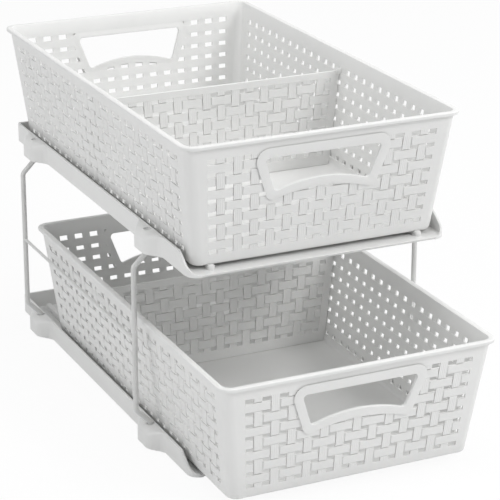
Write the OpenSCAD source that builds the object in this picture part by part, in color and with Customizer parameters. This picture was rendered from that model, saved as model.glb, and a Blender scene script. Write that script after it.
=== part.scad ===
// Two-tier pull-out cabinet basket: two tapered woven-look baskets slide forward on two
// shallow trays, which four bent wire posts and two side braces hold one above the other.
// X is the width, -Y the front that the baskets pull out of, +Z up. The origin lies on the
// resting plane, in the middle of the whole part as drawn. The lower basket is drawn pulled out.
// The baskets set the size: the trays, rails, posts and dividers are fitted round them.

/* [Frame] */
// Free height between the lower basket's rim and the upper tray
tier_gap = 58.4; // [50:0.1:80]
// How far the lower basket is drawn out
lower_pull = 64; // [0:1:150]
// How far the upper basket is drawn out
upper_pull = 0; // [0:1:150]

/* [Tray] */
// Room between the foot of a basket and a side wall of its tray
side_room = 8.6; // [7:0.1:12]
// Room between the foot of a basket and the rear wall of its tray
end_room = 7.9; // [7:0.1:12]
// Height of a tray wall from the tray's underside
tray_h = 16.5; // [14:0.5:20]
// Thickness of a tray wall
tray_wall = 1.8; // [1.4:0.1:2.4]
// Thickness of a tray floor
tray_floor = 2.2; // [1.8:0.1:3]
// Length of the slope at the front end of a side wall
slope_len = 20.5; // [12:0.5:30]
// Radius of the front corners of a tray
lip_corner = 10; // [4:0.5:12]
// Radius of the rear corners of a tray
tray_corner = 3; // [2:0.5:6]
// Distance of each glide rail from the side of a basket's foot
rail_inset = 10.4; // [8:0.2:20]
// Width of a glide rail
rail_w = 5; // [3:0.5:7]
// Distance of the rail ends from the ends of a tray
rail_stop = 6; // [4:0.5:12]
// Height of a foot pad
foot_h = 1.5; // [1:0.1:4]
// Diameter of a foot pad
foot_d = 16; // [10:1:24]
// Distance of the foot pads' centres from the tray's sides
foot_side_in = 23.2; // [16:0.2:30]
// Distance of the foot pads' centres from the tray's ends
foot_end_in = 22; // [16:0.5:30]

/* [Posts] */
// Diameter of the post wire
post_d = 4.2; // [3.6:0.1:4.6]
// Diameter of the side brace wire
brace_d = 2.6; // [2:0.1:3.4]
// Room between the upper basket's rim and the upright part of a post
post_room = 7; // [5:0.1:10]
// Distance of the sockets outside the tray's side faces
socket_out = 2.4; // [2.2:0.1:3.2]
// Distance of the front sockets from the front of the tray
front_post_in = 73.5; // [50:0.5:90]
// Distance of the rear sockets from the rear of the tray
rear_post_in = 52.5; // [40:0.5:70]
// Radius of the bends in a post
bend_r = 5; // [3:0.5:7]
// Height of the braces over the walls of the lower tray
brace_rise = 71.5; // [40:0.5:90]
// Reach of the bulge round a socket beyond the tray's side face
bulge_out = 10; // [8.5:0.1:12]

/* [Basket] */
// Width over the basket walls at the top, without the rim lip
basket_w = 221.2; // [200:0.2:250]
// Depth over the basket walls at the top, without the rim lip
basket_d = 383.2; // [340:0.2:430]
// Height of a basket
basket_h = 97; // [94:0.5:112]
// How far each wall leans in from top to bottom
draft = 13.8; // [12:0.1:16]
// Thickness of the basket walls
wall_t = 1.6; // [1.2:0.1:2]
// Thickness of the basket floor
floor_t = 2.4; // [2:0.1:3]
// Outer radius of the upright corners
corner_r = 10.5; // [8:0.5:12]
// Overhang of the rim lip
rim_over = 1.8; // [1:0.1:2.4]
// Height of the rim lip
rim_drop = 2.9; // [2:0.1:4]

/* [Weave] */
// Distance between hole columns in the front and rear walls
front_pitch = 13.9; // [13:0.1:16]
// Distance between hole columns in the side walls
side_pitch = 13.5; // [12:0.1:15]
// Distance between hole rows
row_pitch = 10.25; // [9.5:0.05:11]
// Height of the lowest row of holes over the basket's underside
first_row = 10.4; // [9.5:0.1:12]
// Least height of the plain band above the centres of the top row
top_band = 14.6; // [13:0.1:18]
// Width of a hole in the front and rear walls
front_hole = 7; // [5.6:0.1:8]
// Width of a hole in the side walls
side_hole = 5.2; // [4.8:0.1:7]
// Height of a hole
hole_h = 3.6; // [3:0.1:4.6]
// Height of a hole in the top row
top_hole_h = 5.4; // [5:0.1:6.4]

/* [Handles] */
// Half width of a handle opening at its top
grip_top = 47; // [42:0.5:50]
// Half width of a handle opening at its bottom
grip_low = 40; // [36:0.5:42]
// Distance of the top of a handle opening below the rim
grip_drop = 17; // [15:0.5:20]
// Height of a handle opening at its bottom corners
grip_h = 26.8; // [24:0.1:32]
// Rise of the middle of a handle opening's lower edge
grip_arch = 6.3; // [3:0.1:7]
// Radius of the upper corners of a handle opening
grip_round = 3; // [2:0.1:5]
// Radius of the lower corners of a handle opening
grip_low_round = 3.5; // [2:0.1:5]
// Width of the plain collar above and beside the top of a handle opening
collar_w = 8; // [6:0.2:8.4]
// Width of that collar beside the lower corners
collar_side = 6; // [5:0.1:7]
// Width of that collar below the opening
collar_foot = 7.2; // [6:0.1:8]
// Radius of the collar's upper corners
collar_round = 10; // [6:0.5:12]
// Radius of the collar's lower corners
collar_low_round = 6.5; // [5:0.1:8]
// Thickness of that collar beyond the wall
collar_t = 0.8; // [0.6:0.1:1.8]

/* [Dividers] */
// Height of a divider's top edge over the centres of the top row of holes in the walls
divider_rise = 0.25; // [-1:0.05:0.6]
// Thickness of a divider
divider_t = 1.8; // [1.4:0.1:2.4]
// Distance between hole columns in a divider, at its top row
divider_pitch = 12.8; // [12:0.1:15]
// Width of a hole in a divider
divider_hole = 5.8; // [5:0.1:7]
// Height of the centres of the lowest row of holes in a divider
divider_first_row = 13.3; // [12:0.1:15]
// Least width of the plain margin beside and above the holes of a divider
divider_edge = 3; // [2:0.1:3.4]
// Hole column that carries the upper divider, counted from the middle toward the front
upper_column = 1; // [-9:1:10]
// Hole column that carries the lower divider, counted from the middle toward the front
lower_column = -4; // [-9:1:10]

/* [Clearances] */
// Height of a basket's underside over the tray floor
glide_gap = 2.9; // [2.2:0.1:4]
// Depth of the runner channels under a basket
channel_h = 0.9; // [0.6:0.1:1.2]
// Gap between a runner channel's roof and the rail
glide_fit = 0.1; // [0.05:0.05:0.3]
// Gap beside a rail in its runner channel
channel_fit = 0.6; // [0.3:0.1:1]
// Gap between a divider's ends and the side walls
divider_gap = 1.5; // [1:0.1:2]
// Gap between a divider and the basket floor
divider_seat = 0.1; // [0.05:0.05:0.3]
// Gap round a divider's tab in its hole
ear_fit = 0.4; // [0.3:0.1:0.8]
// Gap round a post in its socket
socket_fit = 0.1; // [0.05:0.05:0.2]

/* [Hidden] */
$fn = 48;

plastic = [0.86, 0.86, 0.84];
painted_wire = [0.9, 0.9, 0.89];
rubber = [0.55, 0.55, 0.54];
far = 500;
// How far a cut runs past the face it opens
past = 2;

// Basket: lean of the walls and of the upright corner edges
lean = atan(draft / basket_h);
corner_lean = atan(draft * sqrt(2) / basket_h);
tangent_turn = atan2(sin(45), cos(45) * cos(corner_lean) + tan(lean) * sin(corner_lean));
// Angle at which a corner's arc meets the walls
corner_blend = 8;
foot_half_w = basket_w / 2 - draft;
foot_half_d = basket_d / 2 - draft;
rim_half_w = basket_w / 2 + rim_over / cos(lean);
rim_half_d = basket_d / 2 + rim_over / cos(lean);

// Handle opening: heights of its top and of its bottom corners
grip_z1 = basket_h - grip_drop;
grip_z0 = grip_z1 - grip_h;
// Least strap between the collar and the nearest holes
collar_clear = 1;

// Rows of holes, and how many columns the flat part of a wall takes on each side of its middle
rows = floor((basket_h - top_band - first_row) / row_pitch) + 1;
top_row_z = first_row + (rows - 1) * row_pitch;
flat_w = foot_half_w + tan(lean) * top_row_z - corner_r;
flat_d = foot_half_d + tan(lean) * top_row_z - corner_r;
front_columns = floor((flat_w - front_hole / 2) / front_pitch + 0.5);
side_columns = floor((flat_d - side_hole / 2) / side_pitch + 0.5);
// Share by which the columns draw together from the top row down to the first
front_fan = 0.06;
side_fan = 0.05;
divider_fan = 0.07;

// Divider: its top edge, its rows and columns, and the heights of its tabs
divider_z = top_row_z + divider_rise;
divider_rows = floor((divider_z - divider_edge - hole_h / 2 - divider_first_row) / row_pitch) + 1;
divider_top_row = divider_first_row + (divider_rows - 1) * row_pitch;
divider_reach = divider_half(divider_top_row) - divider_edge - divider_hole / 2;
divider_columns = floor(divider_reach / divider_pitch + 0.5);
ear_root = 3;
ear_w = side_hole - 2 * ear_fit;
ear_z0 = top_row_z - top_hole_h / 2 * cos(lean) + wall_t * sin(lean) + ear_fit;
ear_z1 = top_row_z + top_hole_h / 2 * cos(lean) - ear_fit;

// Tray: fitted round the foot of a basket, with its rails, sockets and foot pads
tray_w = 2 * (foot_half_w + side_room + tray_wall);
tray_d = 2 * (foot_half_d + end_room + tray_wall);
basket_rise = tray_floor + glide_gap;
rail_x = foot_half_w - rail_inset;
rail_top = basket_rise + channel_h - glide_fit;
rail_round = rail_w / 2;
rail_half = tray_d / 2 - rail_stop - rail_round;
front_post_y = tray_d / 2 - front_post_in;
rear_post_y = tray_d / 2 - rear_post_in;
foot_x = tray_w / 2 - foot_side_in;
foot_y = tray_d / 2 - foot_end_in;

// Bulge round a socket: its flat middle, its flanks, and the bevel along its top
bulge_flat = 7;
bulge_run = 18;
bevel_in = 4.6;
bevel_turn = 54;

// Posts: the 45 degree jog between the sockets and the uprights, and their straight ends
post_x = rim_half_w + post_room + post_d / 2;
socket_x = tray_w / 2 + socket_out;
jog = post_x - socket_x;
socket_lip_d = 6.6;
socket_lip_h = 1.5;
end_in = 1;
bend_out = 1;
bend_bite = 0.2;
bend_skin = 0.01;

// Heights of the two tiers: undersides of the trays and of the baskets
tier_pitch = basket_rise + basket_h + tier_gap;
lower_tray_z = foot_h;
upper_tray_z = foot_h + tier_pitch;
lower_basket_z = lower_tray_z + basket_rise;
upper_basket_z = upper_tray_z + basket_rise;
socket_low = lower_tray_z + socket_lip_h + end_in;
socket_high = upper_tray_z + tray_h - socket_lip_h;
low_bend_z = lower_tray_z + tray_h + bend_out;
high_bend_z = upper_tray_z - bend_out;
brace_z = lower_tray_z + tray_h + brace_rise;

// The whole part as drawn is centred on the origin: how far the trays stand behind it
front_reach = rim_half_d + max(lower_pull, upper_pull);
rear_reach = max(rim_half_d - min(lower_pull, upper_pull), tray_d / 2);
frame_y = (front_reach - rear_reach) / 2;

// ---------------------------------------------------------------- outlines

function mirrored(points) = [for (i = [len(points) - 1:-1:0]) [-points[i][0], points[i][1]]];
function box_path(x, y, w, h) =
    [[x - w / 2, y - h / 2], [x + w / 2, y - h / 2], [x + w / 2, y + h / 2], [x - w / 2, y + h / 2]];
function arc(cx, cy, r, a0, a1, steps) =
    [for (i = [0:steps]) let (a = a0 + (a1 - a0) * i / steps) [cx + r * cos(a), cy + r * sin(a)]];

// Lower edge of a handle outline from the left to the right, a broad arch between its corners
function arched_edge(half, z, rise, steps) =
    [for (i = [0:steps]) let (t = 2 * i / steps - 1) [half * t, z + rise * (1 - t * t)]];

// An outline round a handle opening: half width and height of its upper corners, the same of
// its lower corners, their radii, and the rise of its lower edge
function handle_outline(top, z1, low, z0, r1, r0, rise) = concat(
    arc(top - r1, z1 - r1, r1, -10, 90, 6),
    mirrored(arc(top - r1, z1 - r1, r1, -10, 90, 6)),
    mirrored(arc(low - r0, z0 + r0, r0, -80, -12, 5)),
    arched_edge(low - r0, z0, rise, 14),
    arc(low - r0, z0 + r0, r0, -80, -12, 5)
);
function grip_outline() =
    handle_outline(grip_top, grip_z1, grip_low, grip_z0, grip_round, grip_low_round, grip_arch);
function collar_outline() = handle_outline(
    grip_top + collar_w, grip_z1 + collar_w, grip_low + collar_side, grip_z0 - collar_foot,
    collar_round, collar_low_round, grip_arch
);

// Holes of one wall in the plane of the wall, u across and v up its slant
function row_z(row) = first_row + row * row_pitch;
function row_height(row) = row == rows - 1 ? top_hole_h : hole_h;
function column_u(column, pitch, fan, z) =
    (column - 0.5) * pitch * (1 - fan * (top_row_z - z) / (top_row_z - first_row));
function front_u(column, z) = column_u(column, front_pitch, front_fan, z);
function side_u(column, z) = column_u(column, side_pitch, side_fan, z);

// Half width of the collar at a height, and whether a hole stands clear of it
function collar_half(z) = let (t = (z - grip_z0) / (grip_z1 - grip_z0), low = grip_low + collar_side)
    low + (grip_top + collar_w - low) * min(max(t, 0), 1);
function beside_collar(u, z, w, h) =
    abs(u) - w / 2 > collar_half(z) + collar_clear || z + h / 2 < grip_z0 - collar_foot - collar_clear;
function front_holes() = [
    for (row = [0:rows - 1], column = [1 - front_columns:front_columns])
        let (z = row_z(row), u = front_u(column, z), h = row_height(row))
            if (beside_collar(u, z, front_hole, h)) box_path(u, z / cos(lean), front_hole, h)
];
function side_holes() = [
    for (row = [0:rows - 1], column = [1 - side_columns:side_columns])
        let (z = row_z(row))
            box_path(side_u(column, z), z / cos(lean), side_hole, row_height(row))
];

// An outline with holes in it
module pierced(outer, inner) {
    difference() {
        polygon(outer);
        outlines(inner);
    }
}

module outlines(list) {
    for (outline = list) polygon(outline);
}

// ---------------------------------------------------------------- tray

// Side outline of the bulge round a socket: flat in the middle, with a cosine flank each way
function bulge_outline() = let (steps = 10)
    concat(
        [for (i = [0:steps]) [bulge_face(i / steps), -bulge_flat - bulge_run * (1 - i / steps)]],
        [for (i = [steps:-1:0]) [bulge_face(i / steps), bulge_flat + bulge_run * (1 - i / steps)]],
        [[tray_w / 2 - tray_wall, bulge_flat + bulge_run], [tray_w / 2 - tray_wall, -bulge_flat - bulge_run]]
    );
function bulge_face(t) = tray_w / 2 + bulge_out * (1 - cos(180 * t)) / 2;

module bulge() {
    difference() {
        linear_extrude(tray_h) polygon(bulge_outline());
        translate([tray_w / 2 + bulge_out - bevel_in, -far / 2, tray_h])
            rotate([0, bevel_turn, 0]) cube([far, far, far]);
    }
}

// A plate with one radius at its two front corners and another at its two rear corners
module rounded_plate(w, d, h, front_r, rear_r) {
    for (end = [[-1, front_r], [1, rear_r]]) {
        translate([0, end[0] * d / 4, h / 2]) cube([w - 2 * end[1], d / 2, h], center = true);
        for (sx = [-1, 1])
            translate([sx * (w / 2 - end[1]), end[0] * (d / 2 - end[1]), 0]) cylinder(r = end[1], h = h);
    }
    translate([-w / 2, -d / 2 + front_r, 0]) cube([w, d - front_r - rear_r, h]);
}

module at_sockets() {
    for (side = [-1, 1], y = [-front_post_y, rear_post_y])
        translate([side * socket_x, y, 0]) children();
}

module tray() {
    difference() {
        union() {
            rounded_plate(tray_w, tray_d, tray_h, lip_corner, tray_corner);
            for (side = [0, 1], y = [-front_post_y, rear_post_y])
                mirror([side, 0, 0]) translate([0, y, 0]) bulge();
        }
        // The hollow, open at the front
        translate([-tray_w / 2 + tray_wall, -tray_d, tray_floor])
            cube([tray_w - 2 * tray_wall, tray_d * 1.5 - tray_wall, tray_h]);
        // The slope down to the lip at the front ends of the side walls
        translate([-far / 2, -tray_d / 2, tray_floor])
            rotate([atan2(tray_h - tray_floor, slope_len), 0, 0])
                translate([0, -far / 2, 0]) cube([far, far, far]);
        // The sockets
        at_sockets() {
            translate([0, 0, -past]) cylinder(d = post_d + 2 * socket_fit, h = tray_h + 2 * past);
            translate([0, 0, tray_h - socket_lip_h]) cylinder(d = socket_lip_d, h = socket_lip_h + past);
            translate([0, 0, -past]) cylinder(d = socket_lip_d, h = socket_lip_h + past);
        }
    }
    for (side = [-1, 1]) translate([side * rail_x, 0, 0]) rail();
}

module rail() {
    translate([-rail_w / 2, -rail_half, tray_floor / 2])
        cube([rail_w, 2 * rail_half, rail_top - tray_floor / 2]);
    for (sy = [-1, 1])
        translate([0, sy * rail_half, tray_floor / 2])
            cylinder(r = rail_round, h = rail_top - tray_floor / 2);
}

module lower_tray() {
    color(plastic) translate([0, frame_y, lower_tray_z]) tray();
}

module upper_tray() {
    color(plastic) translate([0, frame_y, upper_tray_z]) tray();
}

module foot(side, end) {
    color(rubber) translate([side * foot_x, frame_y + end * foot_y, 0]) cylinder(d = foot_d, h = foot_h);
}

// ---------------------------------------------------------------- posts

// A round wire that turns by 45 degrees: its upright start at the origin, leaning toward +X
module wire_bend() {
    translate([bend_r, 0, 0]) rotate([90, 0, 180]) rotate_extrude(angle = 45)
        translate([bend_r, 0]) circle(d = post_d);
}

// A straight run that reaches a little into the bends at its ends
module wire_run(length) {
    translate([0, 0, -bend_bite]) cylinder(d = post_d - 2 * bend_skin, h = length + 2 * bend_bite);
}

// One end of a post, in the XZ plane: its socket end at x = 0 and the upright at x = jog.
// bite is the length of the straight end below the corner of the first bend
module post_end(bite) {
    trim = bend_r * tan(22.5);
    translate([0, 0, -bite]) cylinder(d = post_d - 2 * bend_skin, h = bite - trim + bend_bite);
    translate([0, 0, -trim]) wire_bend();
    translate([trim * sin(45), 0, trim * cos(45)]) rotate([0, 45, 0]) wire_run(jog * sqrt(2) - 2 * trim);
    translate([jog, 0, jog + trim]) rotate([0, 180, 0]) wire_bend();
}

module post(side, y) {
    trim = bend_r * tan(22.5);
    z0 = low_bend_z + jog + trim;
    z1 = high_bend_z - jog - trim;
    color(painted_wire) mirror([side < 0 ? 1 : 0, 0, 0]) translate([socket_x, frame_y + y, 0]) {
        translate([0, 0, low_bend_z]) post_end(low_bend_z - socket_low);
        translate([0, 0, high_bend_z]) mirror([0, 0, 1]) post_end(socket_high - high_bend_z);
        translate([jog, 0, z0]) wire_run(z1 - z0);
    }
}

module brace(side) {
    color(painted_wire) translate([0, frame_y, 0]) difference() {
        translate([side * post_x, -front_post_y, brace_z]) rotate([-90, 0, 0])
            cylinder(d = brace_d, h = front_post_y + rear_post_y);
        for (y = [-front_post_y, rear_post_y])
            translate([side * post_x, y, brace_z - brace_d]) cylinder(d = post_d, h = 2 * brace_d);
    }
}

// ---------------------------------------------------------------- basket

// The tapered block inside the four walls, set in by inset, with its upright edges rounded
module tapered_block(inset, radius, z0, z1) {
    half_w = foot_half_w - inset / cos(lean);
    half_d = foot_half_d - inset / cos(lean);
    difference() {
        intersection() {
            rotate([90, 0, 0]) translate([0, 0, -far / 2]) linear_extrude(far)
                polygon(taper_outline(half_w, z0, z1));
            rotate([90, 0, 90]) translate([0, 0, -far / 2]) linear_extrude(far)
                polygon(taper_outline(half_d, z0, z1));
        }
        for (sx = [0, 1], sy = [0, 1])
            mirror([sx, 0, 0]) mirror([0, sy, 0]) translate([half_w, half_d, 0]) rotate([0, 0, 45])
                rotate([0, corner_lean, 0]) translate([0, 0, -far / 4])
                    linear_extrude(far / 2) corner_sliver(radius);
    }
}

function taper_outline(half, z0, z1) = let (g = tan(lean))
    [[-half - g * z0, z0], [half + g * z0, z0], [half + g * z1, z1], [-half - g * z1, z1]];

// What a rounded corner leaves outside, seen along the corner's edge. The arc meets the walls at
// a small angle, corner_blend, in place of an exact tangent
module corner_sliver(radius) {
    back = radius * cos(corner_blend) / cos(tangent_turn);
    side_x = radius * cos(tangent_turn) - back;
    side_y = radius * sin(tangent_turn);
    difference() {
        translate([side_x - 1, -side_y]) square([4 * radius, 2 * side_y]);
        translate([-back, 0]) circle(r = radius);
    }
}

// Leans what stands at y = 0 so that it lies on the outer face of a wall
module wall_place(half) {
    translate([0, -half, 0]) rotate([lean, 0, 0]) children();
}

// Cuts outlines drawn across and up a wall right through it
module wall_cut(list) {
    rotate([90, 0, 0]) translate([0, 0, -wall_t - past]) linear_extrude(2 * (wall_t + past)) outlines(list);
}

function slanted(points) = [for (p = points) [p[0], p[1] / cos(lean)]];

module basket() {
    difference() {
        union() {
            tapered_block(0, corner_r, 0, basket_h);
            tapered_block(-rim_over, corner_r + rim_over, basket_h - rim_drop, basket_h);
            for (turn = [0, 180]) rotate([0, 0, turn]) wall_place(foot_half_d) rotate([90, 0, 0])
                translate([0, 0, -wall_t / 2]) linear_extrude(wall_t / 2 + collar_t)
                    polygon(slanted(collar_outline()));
        }
        tapered_block(wall_t, corner_r - wall_t, floor_t, basket_h + past);
        for (turn = [0, 180]) rotate([0, 0, turn]) {
            wall_place(foot_half_d) wall_cut(concat([slanted(grip_outline())], front_holes()));
            rotate([0, 0, 90]) wall_place(foot_half_w) wall_cut(side_holes());
        }
        // Runner channels
        for (side = [-1, 1])
            translate([side * rail_x - rail_w / 2 - channel_fit, -far / 2, -past])
                cube([rail_w + 2 * channel_fit, far, past + channel_h]);
    }
}

module lower_basket() {
    color(plastic) translate([0, frame_y - lower_pull, lower_basket_z]) basket();
}

module upper_basket() {
    color(plastic) translate([0, frame_y - upper_pull, upper_basket_z]) basket();
}

// ---------------------------------------------------------------- divider

function divider_half(z) = foot_half_w + tan(lean) * z - wall_t / cos(lean) - divider_gap;
function divider_outline() = let (z0 = floor_t + divider_seat, z1 = divider_z)
    [[-divider_half(z0), z0], [divider_half(z0), z0], [divider_half(z1), z1], [-divider_half(z1), z1]];
function divider_holes() = [
    for (row = [0:divider_rows - 1], column = [1 - divider_columns:divider_columns])
        let (drop = (divider_rows - 1 - row) / (divider_rows - 1), u = (column - 0.5) * divider_pitch)
            box_path(u * (1 - divider_fan * drop), divider_first_row + row * row_pitch, divider_hole, hole_h)
];

module divider() {
    rotate([90, 0, 0]) translate([0, 0, -divider_t / 2]) linear_extrude(divider_t)
        pierced(divider_outline(), divider_holes());
    for (side = [0, 1]) mirror([side, 0, 0]) ear();
}

// The tab with a round top, at a top corner, that sits in a hole of the side wall
module ear() {
    x0 = divider_half(ear_z0) - ear_root;
    length = foot_half_w + tan(lean) * ear_z0 - x0;
    translate([x0, -ear_w / 2, ear_z0]) cube([length, ear_w, ear_z1 - ear_z0 - ear_w / 2]);
    translate([x0, 0, ear_z1 - ear_w / 2]) rotate([0, 90, 0]) cylinder(d = ear_w, h = length);
}

module lower_divider() {
    y = frame_y - lower_pull - side_u(lower_column, top_row_z);
    color(plastic) translate([0, y, lower_basket_z]) divider();
}

module upper_divider() {
    y = frame_y - upper_pull - side_u(upper_column, top_row_z);
    color(plastic) translate([0, y, upper_basket_z]) divider();
}

// ---------------------------------------------------------------- pieces

lower_tray();
upper_tray();
post(-1, -front_post_y);  // front_left_post
post(1, -front_post_y);  // front_right_post
post(-1, rear_post_y);  // rear_left_post
post(1, rear_post_y);  // rear_right_post
brace(-1);  // left_brace
brace(1);  // right_brace
lower_basket();
upper_basket();
lower_divider();
upper_divider();
foot(-1, -1);  // front_left_foot
foot(1, -1);  // front_right_foot
foot(-1, 1);  // rear_left_foot
foot(1, 1);  // rear_right_foot
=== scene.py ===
"""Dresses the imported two-tier pull-out cabinet basket: woven walls, rounded trays, painted wire."""

import math

import bmesh
import bpy
from mathutils import Matrix, Vector


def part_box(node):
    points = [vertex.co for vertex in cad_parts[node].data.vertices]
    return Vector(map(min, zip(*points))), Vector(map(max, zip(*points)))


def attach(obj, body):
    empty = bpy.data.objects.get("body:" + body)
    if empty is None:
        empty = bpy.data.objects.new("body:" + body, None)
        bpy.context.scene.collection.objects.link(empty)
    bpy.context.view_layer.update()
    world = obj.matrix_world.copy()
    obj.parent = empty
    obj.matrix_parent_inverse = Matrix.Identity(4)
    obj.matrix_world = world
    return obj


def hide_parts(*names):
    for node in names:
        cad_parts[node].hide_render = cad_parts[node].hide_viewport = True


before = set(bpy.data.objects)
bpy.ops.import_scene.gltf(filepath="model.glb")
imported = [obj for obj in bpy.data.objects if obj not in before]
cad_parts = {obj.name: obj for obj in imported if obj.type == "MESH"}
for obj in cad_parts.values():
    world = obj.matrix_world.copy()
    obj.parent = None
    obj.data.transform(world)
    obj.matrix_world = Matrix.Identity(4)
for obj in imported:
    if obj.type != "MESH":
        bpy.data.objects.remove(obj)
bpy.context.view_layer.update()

MM = 0.001

# ---------------------------------------------------------------- sizes, in millimetres

# Basket: z counts from its underside, w outward from a wall. DRAFT and SIDE_DRAFT are how far the
# front and side walls lean in from top to bottom. The width, SIDE_DRAFT, CORNER_R, RIM_OVER,
# COLLAR_T and DIVIDER_GAP follow the photo, and differ a little from the part's source
BASKET_W = 222.2
BASKET_D = 383.2
BASKET_H = 97.0
DRAFT = 13.8
SIDE_DRAFT = 11.0
WALL_T = 1.6
FLOOR_T = 2.4
CORNER_R = 8.0
RIM_OVER = 3.4
RIM_DROP = 2.9

LEAN = math.atan(DRAFT / BASKET_H)
SLOPE = math.tan(LEAN)
SIDE_LEAN = math.atan(SIDE_DRAFT / BASKET_H)
SIDE_SLOPE = math.tan(SIDE_LEAN)
FOOT_HALF_W = BASKET_W / 2 - SIDE_DRAFT
FOOT_HALF_D = BASKET_D / 2 - DRAFT

# Rows of holes, and the straps between them; a strap's edges are eased by STRAP_EDGE
ROW_PITCH = 10.25
ROWS = 8
FIRST_ROW = 10.4
HOLE_H = 3.6
TOP_HOLE_H = 5.4
TOP_ROW = FIRST_ROW + (ROWS - 1) * ROW_PITCH
WEAVE_LOW = FIRST_ROW - HOLE_H / 2
WEAVE_HIGH = TOP_ROW + TOP_HOLE_H / 2
STRAP_H = ROW_PITCH - HOLE_H
STRAP_EDGE = 0.14
# Inner faces of the straps: those of the level straps stand a little further in
UPRIGHT_BACK = 1.3
LEVEL_BACK = 1.62
# A strap lies at PROUD where it is on top, and dips to -DEEP over a length of DIP where it is not
PROUD = 0.14
DEEP = 1.0
DIP = 0.95
# Fine ribs along a strap
RIBS = 4
RIB_STEPS = 4
RIB_DEPTH = 0.2
LEVEL_RIB_DEPTH = RIB_DEPTH / 2
# How far the straps reach past their window
STRAP_REACH = 1.2
DIVIDER_STRAP_REACH = 0.9
# Where a handle opening cuts a strap: length of one step along it, and the shortest piece kept
CUT_STEP = 0.25
SHORTEST_PIECE = 1

# Handle openings
GRIP_TOP = 47.0
GRIP_LOW = 40.0
GRIP_Z1 = 80.0
GRIP_Z0 = 53.2
GRIP_ARCH = 6.3
GRIP_ROUND = 3.0
GRIP_LOW_ROUND = 3.5
COLLAR_W = 8.0
COLLAR_SIDE = 6.0
COLLAR_FOOT = 7.2
COLLAR_ROUND = 10.0
COLLAR_LOW_ROUND = 6.5
COLLAR_T = 1.1
ARCH_STEPS = 28
# Share of the collar's width over which the straps run on behind it
COLLAR_HIDES = 0.45

# Corners: points round one, its least radius, and the least plain strip beside a window
CORNER_STEPS = 12
CORNER_LEAST = 1.0
WINDOW_MARGIN = 0.15

# Dividers
DIVIDER_Z = 82.4
DIVIDER_T = 1.8
DIVIDER_GAP = 1.2
DIVIDER_ROWS = 7
DIVIDER_FIRST_ROW = 13.3
DIVIDER_SEAT = 0.1
# Depth of the woven part's face behind the frame's, the frame's eased edge, and how far its
# upright bars run into the level ones
DIVIDER_WEAVE_IN = 0.2
BAR_EDGE = 0.3
BAR_OVERLAP = 0.5
# Tab in a hole of the side wall: half width, gaps below and above, and its root in the divider
EAR_HALF = 2.2
EAR_GAP_LOW = 0.65
EAR_GAP_HIGH = 0.45
EAR_ROOT = 3

# Trays: the side walls swell round the wire sockets, by BULGE_OUT at most
TRAY_W = 214.4
TRAY_D = 375.0
TRAY_H = 16.5
TRAY_WALL = 1.8
TRAY_FLOOR = 2.2
LIP_CORNER = 10.0
LIP_STEPS = 12
TRAY_CORNER = 3.0
TRAY_CORNER_STEPS = 6
TRAY_SLOPE = 20.5
# Eased edges of a tray wall, and how far the round shoulder of a swelling reaches in and down
WALL_EASE = 0.35
WALL_EASE_LEAST = 0.02
WALL_FOOT_EASE = 0.4
WALL_FOOT_IN = 0.1
SHOULDER_IN = 0.68
SHOULDER_DOWN = 0.6
SHOULDER_STEPS = 8
# Tray floor: how far it runs into the walls, and its underside and eased front edge
FLOOR_BITE = 0.12
FLOOR_UNDER = 0.05
FLOOR_EASE = 0.3
FLOOR_LIP_IN = 1.3
BULGE_OUT = 10.0
BULGE_FLAT = 7.0
BULGE_RUN = 18.0
BULGE_STEPS = 26
SOCKETS_Y = (-114.0, 135.0)
SOCKET_X = 109.6
SOCKET_R = 3.3
SOCKET_DEEP = 1.5
SOCKET_PAST = 1.0
RAIL_X = 86.4
RAIL_W = 5.0
RAIL_TOP = 5.9
RAIL_HALF = 181.5
# Runner channels in the underside of a basket
CHANNEL_HALF = 3.1
CHANNEL_TOP = 0.9
CHANNEL_FLANK = 0.08

# Points nearer than MERGE are one; HAIR is a margin for telling points apart
MERGE = 0.001
HAIR = 0.01
# An edge that turns by more degrees than this is shaded sharp
SHARP = 38.0
SHARP_WEAVE = 30.0


# ---------------------------------------------------------------- mesh helpers


class Build:
    """Collects points and faces in millimetres, and turns them into one mesh."""

    def __init__(self):
        self.points = []
        self.faces = []

    def add(self, points):
        start = len(self.points)
        self.points += [tuple(p) for p in points]
        return list(range(start, start + len(points)))

    def join(self, a, b):
        """Quads between two closed rings of equally many points."""
        for i in range(len(a)):
            j = (i + 1) % len(a)
            self.faces.append((a[i], a[j], b[j], b[i]))

    def loft(self, rings, caps=True):
        """Joins closed rings one after another, with a face at each end when caps is true."""
        ids = [self.add(ring) for ring in rings]
        for a, b in zip(ids, ids[1:]):
            self.join(a, b)
        if caps:
            self.faces.append(tuple(reversed(ids[0])))
            self.faces.append(tuple(ids[-1]))
        return ids

    def torus(self, rings):
        """Joins rings in a closed loop, the last to the first."""
        ids = self.loft(rings, caps=False)
        self.join(ids[-1], ids[0])

    def bmesh(self):
        bm = bmesh.new()
        made = [bm.verts.new(p) for p in self.points]
        for face in self.faces:
            if len(set(face)) > 2:
                bm.faces.new([made[i] for i in face])
        bmesh.ops.remove_doubles(bm, verts=bm.verts, dist=MERGE)
        bmesh.ops.recalc_face_normals(bm, faces=bm.faces)
        return bm


def to_object(bm, name, offset, material, sharp):
    """Shades a mesh smooth except at sharp edges, moves it to offset and makes it an object."""
    limit = math.radians(sharp)
    for face in bm.faces:
        face.smooth = True
    for edge in bm.edges:
        edge.smooth = len(edge.link_faces) == 2 and edge.calc_face_angle(0) < limit
    for vert in bm.verts:
        vert.co = (vert.co + offset) * MM
    mesh = bpy.data.meshes.new(name)
    bm.to_mesh(mesh)
    bm.free()
    mesh.materials.append(material)
    made = bpy.data.objects.new(name, mesh)
    bpy.context.scene.collection.objects.link(made)
    return made


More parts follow.
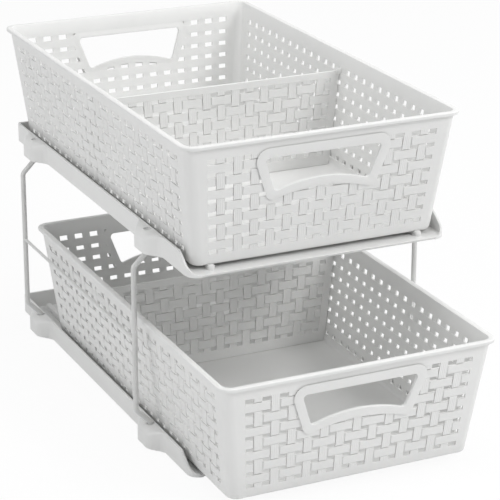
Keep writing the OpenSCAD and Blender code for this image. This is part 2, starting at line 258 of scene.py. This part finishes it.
def arc(cx, cy, r, a0, a1, steps):
    """Points of an arc, angles in degrees."""
    angles = [math.radians(a0 + (a1 - a0) * i / steps) for i in range(steps + 1)]
    return [(cx + r * math.cos(a), cy + r * math.sin(a)) for a in angles]


def lerp(a, b, t):
    return a + (b - a) * t


# ---------------------------------------------------------------- basket walls


def front_point(u, z, w):
    """A point of the front wall: u across, z up, w outward from its face."""
    y = FOOT_HALF_D + SLOPE * z + w * math.cos(LEAN)
    return (u, -y, z - w * math.sin(LEAN))


def rear_point(u, z, w):
    x, y, height = front_point(u, z, w)
    return (-x, -y, height)


def right_point(u, z, w):
    x = FOOT_HALF_W + SIDE_SLOPE * z + w * math.cos(SIDE_LEAN)
    return (x, u, z - w * math.sin(SIDE_LEAN))


def left_point(u, z, w):
    x, y, height = right_point(u, z, w)
    return (-x, -y, height)


class Weave:
    """A woven panel: an even number of hole columns, drawn together by fan toward the bottom."""

    def __init__(self, pitch, columns, hole, fan, rows, first_row, low, high):
        self.pitch, self.columns, self.hole, self.fan = pitch, columns, hole, fan
        self.first_row, self.low, self.high = first_row, low, high
        self.top_row = first_row + (rows - 1) * ROW_PITCH
        self.straps_z = [first_row + (j + 0.5) * ROW_PITCH for j in range(rows - 1)]
        self.straps_u = [i - columns / 2 + 1 for i in range(columns - 1)]

    def share(self, z):
        """What is left of the top row's column pitch at height z."""
        return 1 - self.fan * (self.top_row - z) / (self.top_row - self.first_row)

    def across(self, column, z):
        """Where an upright strap stands at height z; columns count from the middle."""
        return column * self.pitch * self.share(z)

    def half(self, z):
        """Half the width of the open part of the wall at height z."""
        return (self.columns - 1) / 2 * self.pitch * self.share(z) + self.hole / 2


FRONT = Weave(
    pitch=13.9, columns=14, hole=7.0, fan=0.06,
    rows=ROWS, first_row=FIRST_ROW, low=WEAVE_LOW, high=WEAVE_HIGH,
)
SIDE = Weave(
    pitch=13.5, columns=26, hole=5.2, fan=0.05,
    rows=ROWS, first_row=FIRST_ROW, low=WEAVE_LOW, high=WEAVE_HIGH,
)
DIVIDER = Weave(
    pitch=12.8, columns=16, hole=5.8, fan=0.07,
    rows=DIVIDER_ROWS, first_row=DIVIDER_FIRST_ROW, low=DIVIDER_FIRST_ROW - HOLE_H / 2,
    high=DIVIDER_FIRST_ROW + (DIVIDER_ROWS - 1) * ROW_PITCH + HOLE_H / 2,
)


# ---------------------------------------------------------------- weave


def strap_profile(width, depth):
    """Outer face of a strap with fine ribs along it: (across, outward)."""
    half = width / 2
    steps = RIBS * RIB_STEPS
    top = []
    for i in range(steps + 1):
        x = lerp(-half + STRAP_EDGE, half - STRAP_EDGE, i / steps)
        top.append((x, depth * (math.cos(2 * math.pi * i / RIB_STEPS) - 1) / 2))
    return [(-half, -STRAP_EDGE)] + top + [(half, -STRAP_EDGE)]


def strap_ring(profile, w, back):
    """Section of a strap whose outer face lies at w and whose inner face lies at -back."""
    half = profile[-1][0]
    return [(-half, -back)] + [(a, w + b) for a, b in profile] + [(half, -back)]


def strap_stops(crossings, half, start, end, parity):
    """Where a strap changes level: (along, level) from start to end, both ends dipping.
    It lies on top at the crossings whose number plus parity is even."""
    stops = [(start, -DEEP), (start + DIP, PROUD)]
    for index, place in enumerate(crossings):
        if (index + parity) % 2:
            stops += [(place - half - DIP, PROUD), (place - half, -DEEP)]
            stops += [(place + half, -DEEP), (place + half + DIP, PROUD)]
    stops += [(end - DIP, PROUD), (end, -DEEP)]
    return stops


def level_at(stops, along):
    """A strap's level at one place, from the stops on either side of it."""
    for (a, la), (b, lb) in zip(stops, stops[1:]):
        if a <= along <= b:
            return lerp(la, lb, (along - a) / (b - a))
    return stops[-1][1]


def free_runs(stops, blocked):
    """Splits a strap's stops where blocked(along) is true."""
    start, end = stops[0][0], stops[-1][0]
    count = int((end - start) / CUT_STEP)
    marks = [start + (end - start) * i / count for i in range(count + 1)]
    runs, first, last = [], None, None
    for mark in marks + [None]:
        free = mark is not None and not blocked(mark)
        if free and first is None:
            first = mark
        if not free and first is not None:
            if last - first > SHORTEST_PIECE:
                inner = [stop for stop in stops if first < stop[0] < last]
                head, tail = ((along, level_at(stops, along)) for along in (first, last))
                runs.append([head] + inner + [tail])
            first = None
        last = mark
    return runs


def weave(build, point, panel, margin, blocked=lambda u, z: False):
    """Straps over and under one another across a panel; margin is their reach past its window."""
    strap_w = panel.pitch - panel.hole
    upright = strap_profile(strap_w * panel.share((panel.low + panel.high) / 2), RIB_DEPTH)
    level = strap_profile(STRAP_H, LEVEL_RIB_DEPTH)
    foot, head = panel.low - margin, panel.high + margin
    for i, column in enumerate(panel.straps_u):
        stops = strap_stops(panel.straps_z, STRAP_H / 2, foot, head, i + 1)
        for run in free_runs(stops, lambda z: blocked(panel.across(column, z), z)):
            rings = [(z, strap_ring(upright, w, UPRIGHT_BACK)) for z, w in run]
            build.loft(
                [[point(panel.across(column, z) + a, z, b) for a, b in ring] for z, ring in rings]
            )
    for j, z in enumerate(panel.straps_z):
        half = panel.half(z) + margin
        crossings = [panel.across(column, z) for column in panel.straps_u]
        stops = strap_stops(crossings, strap_w * panel.share(z) / 2, -half, half, j)
        for run in free_runs(stops, lambda u: blocked(u, z)):
            rings = [(u, strap_ring(level, w, LEVEL_BACK)) for u, w in run]
            build.loft([[point(u, z + a, b) for a, b in ring] for u, ring in rings])


def handle_outline(top, z1, low, z0, r1, r0):
    """Outline round a handle opening: its upper and lower corners, then the arch between them."""
    right_top = arc(top - r1, z1 - r1, r1, -10, 90, 10)
    left_top = [(-x, z) for x, z in reversed(right_top)]
    right_low = arc(low - r0, z0 + r0, r0, -80, -12, 6)
    left_low = [(-x, z) for x, z in reversed(right_low)]
    middle = []
    for i in range(ARCH_STEPS + 1):
        t = 2 * i / ARCH_STEPS - 1
        middle.append(((low - r0) * t, z0 + GRIP_ARCH * (1 - t * t)))
    return right_top + left_top + left_low + middle + right_low


GRIP_OUTLINE = handle_outline(GRIP_TOP, GRIP_Z1, GRIP_LOW, GRIP_Z0, GRIP_ROUND, GRIP_LOW_ROUND)
COLLAR_OUTLINE = handle_outline(
    GRIP_TOP + COLLAR_W, GRIP_Z1 + COLLAR_W, GRIP_LOW + COLLAR_SIDE, GRIP_Z0 - COLLAR_FOOT,
    COLLAR_ROUND, COLLAR_LOW_ROUND,
)
BLOCK_OUTLINE = [
    (lerp(x0, x1, COLLAR_HIDES), lerp(z0, z1, COLLAR_HIDES))
    for (x0, z0), (x1, z1) in zip(COLLAR_OUTLINE, GRIP_OUTLINE)
]


def inside(outline, u, z):
    """Whether a point lies inside an outline, by crossings of a ray."""
    hit = False
    for (x0, z0), (x1, z1) in zip(outline, outline[1:] + outline[:1]):
        if (z0 > z) != (z1 > z) and u < x0 + (z - z0) * (x1 - x0) / (z1 - z0):
            hit = not hit
    return hit


def basket_weave():
    """The straps of the four walls, cut off behind the collars."""
    build = Build()
    for point in (front_point, rear_point):
        weave(build, point, FRONT, STRAP_REACH, lambda u, z: inside(BLOCK_OUTLINE, u, z))
    for point in (right_point, left_point):
        weave(build, point, SIDE, STRAP_REACH)
    return build


# The collar's section from its outer edge to the opening: (share of its width, outward).
# Its face overhangs a little at the outer edge, which leaves a fine dark line round it
COLLAR_SECTION = [
    (0.16, -WALL_T + 0.1),
    (0.15, COLLAR_T - 0.35),
    (0.0, COLLAR_T - 0.25),
    (0.01, COLLAR_T - 0.06),
    (0.04, COLLAR_T),
    (0.93, COLLAR_T),
    (0.98, COLLAR_T - 0.12),
    (1.0, COLLAR_T - 0.5),
    (1.0, -WALL_T + 0.2),
    (0.97, -WALL_T - 0.25),
    (0.85, -WALL_T - 0.35),
    (0.7, -WALL_T - 0.05),
]


def basket_collars():
    """The raised surround of each handle opening, as thick as the wall and proud of it."""
    build = Build()
    for point in (front_point, rear_point):
        rings = []
        for (x0, z0), (x1, z1) in zip(COLLAR_OUTLINE, GRIP_OUTLINE):
            rings.append([point(lerp(x0, x1, t), lerp(z0, z1, t), w) for t, w in COLLAR_SECTION])
        build.torus(rings)
    return build


# ---------------------------------------------------------------- basket shell

# The shell's section, from the middle of its underside out, up, over the rim and down inside:
# (height, offset outward from the wall's outer face)
SHELL_SECTION = [
    (0.0, -2.4),
    (0.25, -1.2),
    (0.9, -0.35),
    (2.2, 0.0),
    (WEAVE_LOW, 0.0),
    (WEAVE_HIGH, 0.0),
    (BASKET_H - RIM_DROP - 1.2, 0.0),
    (BASKET_H - RIM_DROP - 0.9, -0.5),
    (BASKET_H - RIM_DROP + 0.1, -0.5),
    (BASKET_H - RIM_DROP, RIM_OVER - 0.3),
    (BASKET_H - RIM_DROP + 0.3, RIM_OVER),
    (BASKET_H - 1.1, RIM_OVER),
    (BASKET_H - 0.5, RIM_OVER - 0.18),
    (BASKET_H - 0.15, RIM_OVER - 0.55),
    (BASKET_H, RIM_OVER - 1.1),
    (BASKET_H, -WALL_T + 0.9),
    (BASKET_H - 0.2, -WALL_T + 0.3),
    (BASKET_H - 0.8, -WALL_T),
    (WEAVE_HIGH, -WALL_T),
    (WEAVE_LOW, -WALL_T),
    (FLOOR_T + 2.6, -WALL_T),
    (FLOOR_T + 0.9, -WALL_T - 0.7),
    (FLOOR_T + 0.2, -WALL_T - 1.8),
    (FLOOR_T, -WALL_T - 3.2),
]
OUTER_WINDOW = SHELL_SECTION.index((WEAVE_LOW, 0.0))
INNER_WINDOW = SHELL_SECTION.index((WEAVE_HIGH, -WALL_T))


def shell_ring(z, offset):
    """The basket's outline at one height: four window spans joined by rounded corners.
    Point 0 starts the front window and point 1 ends it; a corner of arc points follows."""
    half_w = FOOT_HALF_W + SIDE_SLOPE * z + offset
    half_d = FOOT_HALF_D + SLOPE * z + offset
    r = max(CORNER_R + offset, CORNER_LEAST)
    ring = []
    for turn in range(4):
        along, across, panel = (half_d, half_w, SIDE) if turn % 2 else (half_w, half_d, FRONT)
        span = min(panel.half(z), along - r - WINDOW_MARGIN)
        quarter = [(-span, -across), (span, -across)]
        quarter += arc(along - r, -across + r, r, -90, 0, CORNER_STEPS)
        for x, y in quarter:
            for _ in range(turn):
                x, y = -y, x
            ring.append((x, y, z))
    return ring


def basket_shell():
    """Floor, corners, plain bands and rim, with a window in each wall for the weave."""
    build = Build()
    rings = [build.add(shell_ring(z, offset)) for z, offset in SHELL_SECTION]
    n = len(rings[0])
    per_side = n // 4
    windows = {(OUTER_WINDOW, side * per_side) for side in range(4)}
    windows |= {(INNER_WINDOW, side * per_side) for side in range(4)}
    for k, (a, b) in enumerate(zip(rings, rings[1:])):
        for i in range(n):
            if (k, i) not in windows:
                j = (i + 1) % n
                build.faces.append((a[i], a[j], b[j], b[i]))
    build.faces.append(tuple(reversed(rings[0])))
    build.faces.append(tuple(rings[-1]))
    outer_low, outer_high = rings[OUTER_WINDOW], rings[OUTER_WINDOW + 1]
    inner_high, inner_low = rings[INNER_WINDOW], rings[INNER_WINDOW + 1]
    for side in range(4):
        i, j = side * per_side, side * per_side + 1
        build.faces.append((outer_low[i], outer_low[j], inner_low[j], inner_low[i]))
        build.faces.append((outer_high[i], outer_high[j], inner_high[j], inner_high[i]))
        for k in (i, j):
            build.faces.append((outer_low[k], outer_high[k], inner_high[k], inner_low[k]))
    return build


def cut_channels(bm):
    """Raises the underside where the tray's rails run."""
    inner, outer = RAIL_X - CHANNEL_HALF, RAIL_X + CHANNEL_HALF
    for x in (inner - CHANNEL_FLANK, inner, outer, outer + CHANNEL_FLANK):
        for side in (-1, 1):
            bmesh.ops.bisect_plane(
                bm,
                geom=bm.verts[:] + bm.edges[:] + bm.faces[:],
                plane_co=(side * x, 0, 0),
                plane_no=(1, 0, 0),
            )
    for vert in bm.verts:
        if inner - HAIR < abs(vert.co.x) < outer + HAIR and vert.co.z < CHANNEL_TOP:
            vert.co.z = CHANNEL_TOP
    return bm


# ---------------------------------------------------------------- divider


def divider_half(z):
    """Half the divider's width at height z."""
    return FOOT_HALF_W + SIDE_SLOPE * z - WALL_T / math.cos(SIDE_LEAN) - DIVIDER_GAP


def divider_point(u, z, w):
    return (u, -DIVIDER_T / 2 + DIVIDER_WEAVE_IN - w, z)


def bar(build, corners):
    """A flat bar of a divider's frame between corners in the XZ plane, with eased edges."""
    centre_x = sum(x for x, z in corners) / len(corners)
    centre_z = sum(z for x, z in corners) / len(corners)

    def eased(by):
        out = []
        for x, z in corners:
            eased_x = x - math.copysign(by, x - centre_x)
            out.append((eased_x, z - math.copysign(by, z - centre_z)))
        return out

    half = DIVIDER_T / 2
    layers = [(-half, BAR_EDGE), (-half + BAR_EDGE, 0), (half - BAR_EDGE, 0), (half, BAR_EDGE)]
    build.loft([[(x, y, z) for x, z in eased(by)] for y, by in layers])


def divider_mesh():
    """A divider's straps, its frame of four bars, and the tabs that clip it in."""
    build = Build()
    weave(build, divider_point, DIVIDER, DIVIDER_STRAP_REACH)
    half, low, high = divider_half, DIVIDER.low, DIVIDER.high
    for z0, z1 in ((high, DIVIDER_Z), (FLOOR_T + DIVIDER_SEAT, low)):
        bar(build, [(-half(z0), z0), (half(z0), z0), (half(z1), z1), (-half(z1), z1)])
    ear_low = TOP_ROW - TOP_HOLE_H / 2 + EAR_GAP_LOW
    ear_high = TOP_ROW + TOP_HOLE_H / 2 - EAR_GAP_HIGH
    ear = arc(0, ear_high - EAR_HALF, EAR_HALF, 0, 180, 10)
    ear += [(-EAR_HALF, ear_low), (EAR_HALF, ear_low)]
    reach = FOOT_HALF_W + SIDE_SLOPE * ear_low
    for s in (-1, 1):
        z0, z1 = low - BAR_OVERLAP, high + BAR_OVERLAP
        edge = [(s * DIVIDER.half(low), z0), (s * half(low), z0)]
        edge += [(s * half(high), z1), (s * DIVIDER.half(high), z1)]
        bar(build, edge)
        build.loft([[(s * x, y, z) for y, z in ear] for x in (half(ear_low) - EAR_ROOT, reach)])
    return build


# ---------------------------------------------------------------- tray


def bulge(y):
    """How far the side wall swells round the sockets at y."""
    out = 0.0
    for socket in SOCKETS_Y:
        t = (BULGE_FLAT + BULGE_RUN - abs(y - socket)) / BULGE_RUN
        out = max(out, BULGE_OUT * (1 - math.cos(math.pi * min(max(t, 0), 1))) / 2)
    return out


def wall_top(y):
    """Height of a tray's wall at y, which slopes up from the floor at the front end."""
    return min(TRAY_H, TRAY_FLOOR + (y + TRAY_D / 2) / TRAY_SLOPE * (TRAY_H - TRAY_FLOOR))


def wall_section(out, top):
    """Section of a tray wall: (outward from its plain face, height).
    A swelling, which stands out by out, has a round shoulder."""
    ease = min(WALL_EASE, max(top - TRAY_FLOOR, WALL_EASE_LEAST) / 2)
    across, down = ease + SHOULDER_IN * out, ease + SHOULDER_DOWN * out
    section = [(out - WALL_FOOT_EASE, 0.0), (out, WALL_FOOT_EASE)]
    for x, z in arc(0, 0, 1, 0, 90, SHOULDER_STEPS):
        section.append((out - across + across * x, top - down + down * z))
    section += [(-TRAY_WALL + ease, top), (-TRAY_WALL, top - ease), (-TRAY_WALL, WALL_FOOT_IN)]
    return section


def corner_stations(x, y, r, start, steps):
    """Stations of tray_path round a quarter turn from an angle in degrees."""
    turns = [math.radians(start + 90 * i / steps) for i in range(steps + 1)]
    points = arc(x, y, r, start, start + 90, steps)
    return [(point, (math.cos(a), math.sin(a)), 0.0) for point, a in zip(points, turns)]


def tray_path():
    """Stations along the right wall to the middle of the rear: (point, way outward, swelling)."""
    half_w, half_d = TRAY_W / 2, TRAY_D / 2
    path = corner_stations(half_w - LIP_CORNER, -half_d + LIP_CORNER, LIP_CORNER, -90, LIP_STEPS)
    stations = {-half_d + TRAY_SLOPE, half_d - TRAY_CORNER}
    reach = BULGE_FLAT + BULGE_RUN
    for socket in SOCKETS_Y:
        steps = range(-BULGE_STEPS, BULGE_STEPS + 1)
        stations |= {socket + reach * i / BULGE_STEPS for i in steps}
    path += [((half_w, y), (1.0, 0.0), bulge(y)) for y in sorted(stations)]
    rear = corner_stations(
        half_w - TRAY_CORNER, half_d - TRAY_CORNER, TRAY_CORNER, 0, TRAY_CORNER_STEPS
    )
    return path + rear[1:] + [((0.0, half_d), (0.0, 1.0), 0.0)]


def tray_shell():
    """The wall round three sides, with its swellings, as one closed band."""
    build = Build()
    right = []
    for (x, y), (nx, ny), out in tray_path():
        ring = [(x + nx * a, y + ny * a, z) for a, z in wall_section(out, wall_top(y))]
        right.append(ring)
    left = [[(-x, y, z) for x, y, z in ring] for ring in reversed(right[:-1])]
    build.loft(right + left)
    return build


# A glide rail's section: (height, how far its side stands in)
RAIL_SECTION = [(1.0, 0.0), (RAIL_TOP - 0.7, 0.0), (RAIL_TOP - 0.2, 0.2), (RAIL_TOP, 0.7)]


def tray_floor():
    """The floor between the walls, its front edge flush with the lip, and the two rails."""
    build = Build()
    inset = TRAY_WALL - FLOOR_BITE
    half_w, half_d = TRAY_W / 2 - inset, TRAY_D / 2
    corner = LIP_CORNER - inset
    right = [(half_w - corner, -half_d)]
    right += arc(half_w - corner, -half_d + LIP_CORNER, corner, -84, 0, 10)
    right += [(half_w, half_d - inset)]
    outline = right + [(-x, y) for x, y in reversed(right)]
    eased = [(x, max(y, -half_d + FLOOR_EASE)) for x, y in outline]
    under = [(x, max(y, -half_d + FLOOR_LIP_IN)) for x, y in outline]
    layers = [(under, FLOOR_UNDER), (outline, TRAY_FLOOR - FLOOR_EASE), (eased, TRAY_FLOOR)]
    build.loft([[(x, y, z) for x, y in ring] for ring, z in layers])
    for side in (-1, 1):
        rings = []
        for z, ease in RAIL_SECTION:
            r = RAIL_W / 2 - ease
            end = RAIL_HALF - RAIL_W / 2
            ring = arc(0, end, r, 0, 180, 10) + arc(0, -end, r, 180, 360, 10)
            rings.append([(side * RAIL_X + x, y, z) for x, y in ring])
        build.loft(rings)
    return build


def socket_cutters():
    """Shallow round recesses at both faces of each wire socket."""
    build = Build()
    for side in (-1, 1):
        for y in SOCKETS_Y:
            ring = arc(side * SOCKET_X, y, SOCKET_R, 0, 345, 23)
            spans = ((-SOCKET_PAST, SOCKET_DEEP), (TRAY_H - SOCKET_DEEP, TRAY_H + SOCKET_PAST))
            for span in spans:
                build.loft([[(x, v, z) for x, v in ring] for z in span])
    return build


def difference(build, cutters):
    """The build's mesh with the cutters taken out of it."""
    solids = []
    for part in (build, cutters):
        mesh = bpy.data.meshes.new("work")
        bm = part.bmesh()
        bm.to_mesh(mesh)
        bm.free()
        made = bpy.data.objects.new("work", mesh)
        bpy.context.scene.collection.objects.link(made)
        solids.append(made)
    modifier = solids[0].modifiers.new("cut", "BOOLEAN")
    modifier.operation = "DIFFERENCE"
    modifier.solver = "EXACT"
    modifier.object = solids[1]
    shown = solids[0].evaluated_get(bpy.context.evaluated_depsgraph_get())
    bm = bmesh.new()
    bm.from_mesh(shown.to_mesh())
    shown.to_mesh_clear()
    for made in solids:
        mesh = made.data
        bpy.data.objects.remove(made)
        bpy.data.meshes.remove(mesh)
    return bm


def tray_bmesh():
    """A tray's wall with its socket recesses, and its floor and rails."""
    bm = difference(tray_shell(), socket_cutters())
    floor = tray_floor().bmesh()
    mesh = bpy.data.meshes.new("work")
    floor.to_mesh(mesh)
    floor.free()
    bm.from_mesh(mesh)
    bpy.data.meshes.remove(mesh)
    return bm


# ---------------------------------------------------------------- materials


# Faint clouds in a surface: their scale, how dark they get, and how the gloss follows them
MOTTLE_SCALE = 22.0
MOTTLE_SHADE = 0.965
GLOSS_DOWN = 0.05
GLOSS_UP = 0.06
# Height of the fine grain, in metres
GRAIN_HEIGHT = 0.0004


def node(tree, kind, **values):
    made = tree.nodes.new(kind)
    for key, value in values.items():
        setattr(made, key, value)
    return made


def moulded(name, colour, roughness, grain=900.0, bump=0.03, specular=0.45):
    """Moulded or painted surface: a faint mottle in colour and gloss, and a fine grain."""
    material = bpy.data.materials.new(name)
    material.use_nodes = True
    tree = material.node_tree
    shader = tree.nodes["Principled BSDF"]
    shader.inputs["Specular IOR Level"].default_value = specular
    place = node(tree, "ShaderNodeTexCoord")
    cloud = node(tree, "ShaderNodeTexNoise")
    cloud.inputs["Scale"].default_value = MOTTLE_SCALE
    cloud.inputs["Detail"].default_value = 4.0
    tint = node(tree, "ShaderNodeValToRGB")
    tint.color_ramp.elements[0].position = 0.3
    tint.color_ramp.elements[1].position = 0.7
    tint.color_ramp.elements[0].color = (*[c * MOTTLE_SHADE for c in colour], 1)
    tint.color_ramp.elements[1].color = (*colour, 1)
    gloss = node(tree, "ShaderNodeMapRange")
    gloss.inputs["To Min"].default_value = roughness - GLOSS_DOWN
    gloss.inputs["To Max"].default_value = roughness + GLOSS_UP
    fine = node(tree, "ShaderNodeTexNoise")
    fine.inputs["Scale"].default_value = grain
    fine.inputs["Detail"].default_value = 2.0
    relief = node(tree, "ShaderNodeBump")
    relief.inputs["Strength"].default_value = bump
    relief.inputs["Distance"].default_value = GRAIN_HEIGHT
    link = tree.links.new
    link(place.outputs["Object"], cloud.inputs["Vector"])
    link(place.outputs["Object"], fine.inputs["Vector"])
    link(cloud.outputs["Fac"], tint.inputs["Fac"])
    link(tint.outputs["Color"], shader.inputs["Base Color"])
    link(cloud.outputs["Fac"], gloss.inputs["Value"])
    link(gloss.outputs["Result"], shader.inputs["Roughness"])
    link(fine.outputs["Fac"], relief.inputs["Height"])
    link(relief.outputs["Normal"], shader.inputs["Normal"])
    return material


PLASTIC = moulded("white_polypropylene", (0.81, 0.81, 0.80), 0.42)
WIRE = moulded("white_powder_coat", (0.70, 0.70, 0.69), 0.32, grain=1400.0)
PAD = moulded("grey_rubber", (0.27, 0.27, 0.265), 0.75, bump=0.1, specular=0.3)


# ---------------------------------------------------------------- pieces


def place(bm, name, body, offset, material, replaced, sharp=SHARP):
    """Makes a piece that rides on a body and is seen in place of a node."""
    made = to_object(bm, name, offset, material, sharp)
    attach(made, body)
    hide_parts(replaced)


def base_of(name):
    """The middle of a node's underside, in millimetres."""
    low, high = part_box(name)
    return Vector(((low.x + high.x) / 2, (low.y + high.y) / 2, low.z)) / MM


for tier in ("lower", "upper"):
    body, basket = tier + "_drawer", tier + "_basket"
    divider, tray = tier + "_divider", tier + "_tray"
    base = base_of(basket)
    place(cut_channels(basket_shell().bmesh()), basket + "_shell", body, base, PLASTIC, basket)
    place(basket_weave().bmesh(), basket + "_weave", body, base, PLASTIC, basket, SHARP_WEAVE)
    place(basket_collars().bmesh(), basket + "_hand_holds", body, base, PLASTIC, basket)
    divider_base = base_of(divider)
    divider_base.z = base.z
    panel = divider_mesh().bmesh()
    place(panel, divider + "_panel", body, divider_base, PLASTIC, divider, SHARP_WEAVE)
    place(tray_bmesh(), tray + "_moulding", "frame", base_of(tray), PLASTIC, tray)

for name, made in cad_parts.items():
    material = PLASTIC
    if name.endswith(("_post", "_brace")):
        material = WIRE
    if name.endswith("_foot"):
        material = PAD
    made.data.materials.clear()
    made.data.materials.append(material)


# ---------------------------------------------------------------- camera

# Fitted to the straight edges of the object in the photo
IMAGE_PX = 500
FOCAL_PX = 2103.12
SENSOR_MM = 36.0
CAMERA_AZ = math.radians(-25.25)
CAMERA_EL = math.radians(20.28)
CAMERA_ROLL = math.radians(0.12)
# The point looked at: y counts from the upper tray's middle, z from the lower basket's underside
AIM = Vector((14.47, -31.39, 107.53))
CAMERA_DISTANCE = 1720.69
CLIP_NEAR_M = 0.05
CLIP_FAR_M = 20.0


def add_camera():
    tray = base_of("upper_tray")
    aim = (AIM + Vector((0, tray.y, base_of("lower_basket").z))) * MM
    back_x = math.sin(CAMERA_AZ) * math.cos(CAMERA_EL)
    back_y = -math.cos(CAMERA_AZ) * math.cos(CAMERA_EL)
    back = Vector((back_x, back_y, math.sin(CAMERA_EL)))
    level = (-back).cross(Vector((0, 0, 1))).normalized()
    upright = level.cross(-back)
    c, s = math.cos(CAMERA_ROLL), math.sin(CAMERA_ROLL)
    right = c * level + s * upright
    up = -s * level + c * upright
    data = bpy.data.cameras.new("camera")
    data.sensor_width = SENSOR_MM
    data.lens = FOCAL_PX * SENSOR_MM / IMAGE_PX
    data.clip_start = CLIP_NEAR_M
    data.clip_end = CLIP_FAR_M
    camera = bpy.data.objects.new("camera", data)
    bpy.context.scene.collection.objects.link(camera)
    turn = Matrix((right, up, back)).transposed().to_4x4()
    camera.matrix_world = Matrix.Translation(aim + back * CAMERA_DISTANCE * MM) @ turn
    bpy.context.scene.camera = camera


add_camera()


# ---------------------------------------------------------------- floor, light and world


# Square area lamps: name, place and side in metres, power in watts; all face LAMP_AIM_M
LAMPS = [
    ("key", (0.9, -1.5, 1.5), 0.7, 17.5),
    ("top", (0.0, -0.2, 1.9), 0.9, 11.5),
    ("left", (-1.8, -0.1, 0.9), 1.0, 8.5),
    ("right", (1.8, 0.2, 1.1), 1.0, 10.0),
]
LAMP_AIM_M = (0, 0, 0.1)
WORLD_STRENGTH = 0.42
WHITE = (1, 1, 1, 1)
FLOOR_REACH_M = 6.0
# Share of plain white in what the camera sees of the floor; the rest is lit and keeps the shadow
FLOOR_WHITE = 0.93


def area_light(name, place_m, size, power):
    data = bpy.data.lights.new(name, "AREA")
    data.shape = "SQUARE"
    data.size = size
    data.energy = power
    lamp = bpy.data.objects.new(name, data)
    lamp.location = place_m
    way = Vector(LAMP_AIM_M) - Vector(place_m)
    lamp.rotation_euler = way.to_track_quat("-Z", "Y").to_euler()
    bpy.context.scene.collection.objects.link(lamp)


def seen(tree):
    """1 for what the camera sees, directly, mirrored or through glass."""
    rays = node(tree, "ShaderNodeLightPath")
    either = node(tree, "ShaderNodeMath", operation="MAXIMUM")
    every = node(tree, "ShaderNodeMath", operation="MAXIMUM")
    tree.links.new(rays.outputs["Is Camera Ray"], either.inputs[0])
    tree.links.new(rays.outputs["Is Glossy Ray"], either.inputs[1])
    tree.links.new(either.outputs["Value"], every.inputs[0])
    tree.links.new(rays.outputs["Is Transmission Ray"], every.inputs[1])
    return every.outputs["Value"]


def add_world():
    """A plain pale light on the object, and white where the camera sees past the floor."""
    world = bpy.data.worlds.new("studio")
    bpy.context.scene.world = world
    world.use_nodes = True
    tree = world.node_tree
    tree.nodes.clear()
    light = node(tree, "ShaderNodeBackground")
    light.inputs["Color"].default_value = (0.86, 0.87, 0.88, 1)
    light.inputs["Strength"].default_value = WORLD_STRENGTH
    shown = node(tree, "ShaderNodeBackground")
    shown.inputs["Color"].default_value = WHITE
    shown.inputs["Strength"].default_value = 1.0
    mix = node(tree, "ShaderNodeMixShader")
    out = node(tree, "ShaderNodeOutputWorld")
    tree.links.new(seen(tree), mix.inputs["Fac"])
    tree.links.new(light.outputs["Background"], mix.inputs[1])
    tree.links.new(shown.outputs["Background"], mix.inputs[2])
    tree.links.new(mix.outputs["Shader"], out.inputs["Surface"])


def add_floor():
    """A wide pale floor that keeps the object's shadow."""
    mesh = bpy.data.meshes.new("floor")
    reach = FLOOR_REACH_M
    corners = [(-reach, -reach, 0), (reach, -reach, 0), (reach, reach, 0), (-reach, reach, 0)]
    mesh.from_pydata(corners, [], [(0, 1, 2, 3)])
    floor = bpy.data.objects.new("floor", mesh)
    bpy.context.scene.collection.objects.link(floor)
    material = bpy.data.materials.new("studio_floor")
    material.use_nodes = True
    tree = material.node_tree
    shader = tree.nodes["Principled BSDF"]
    shader.inputs["Base Color"].default_value = (0.9, 0.9, 0.9, 1)
    shader.inputs["Roughness"].default_value = 0.9
    shader.inputs["Specular IOR Level"].default_value = 0.1
    white = node(tree, "ShaderNodeEmission")
    white.inputs["Color"].default_value = WHITE
    white.inputs["Strength"].default_value = 1.0
    share = node(tree, "ShaderNodeMath", operation="MULTIPLY")
    share.inputs[1].default_value = FLOOR_WHITE
    mix = node(tree, "ShaderNodeMixShader")
    tree.links.new(seen(tree), share.inputs[0])
    tree.links.new(share.outputs["Value"], mix.inputs["Fac"])
    tree.links.new(shader.outputs["BSDF"], mix.inputs[1])
    tree.links.new(white.outputs["Emission"], mix.inputs[2])
    tree.links.new(mix.outputs["Shader"], tree.nodes["Material Output"].inputs["Surface"])
    mesh.materials.append(material)


add_world()
add_floor()
for lamp in LAMPS:
    area_light(*lamp)

bpy.context.scene.view_settings.view_transform = "Standard"
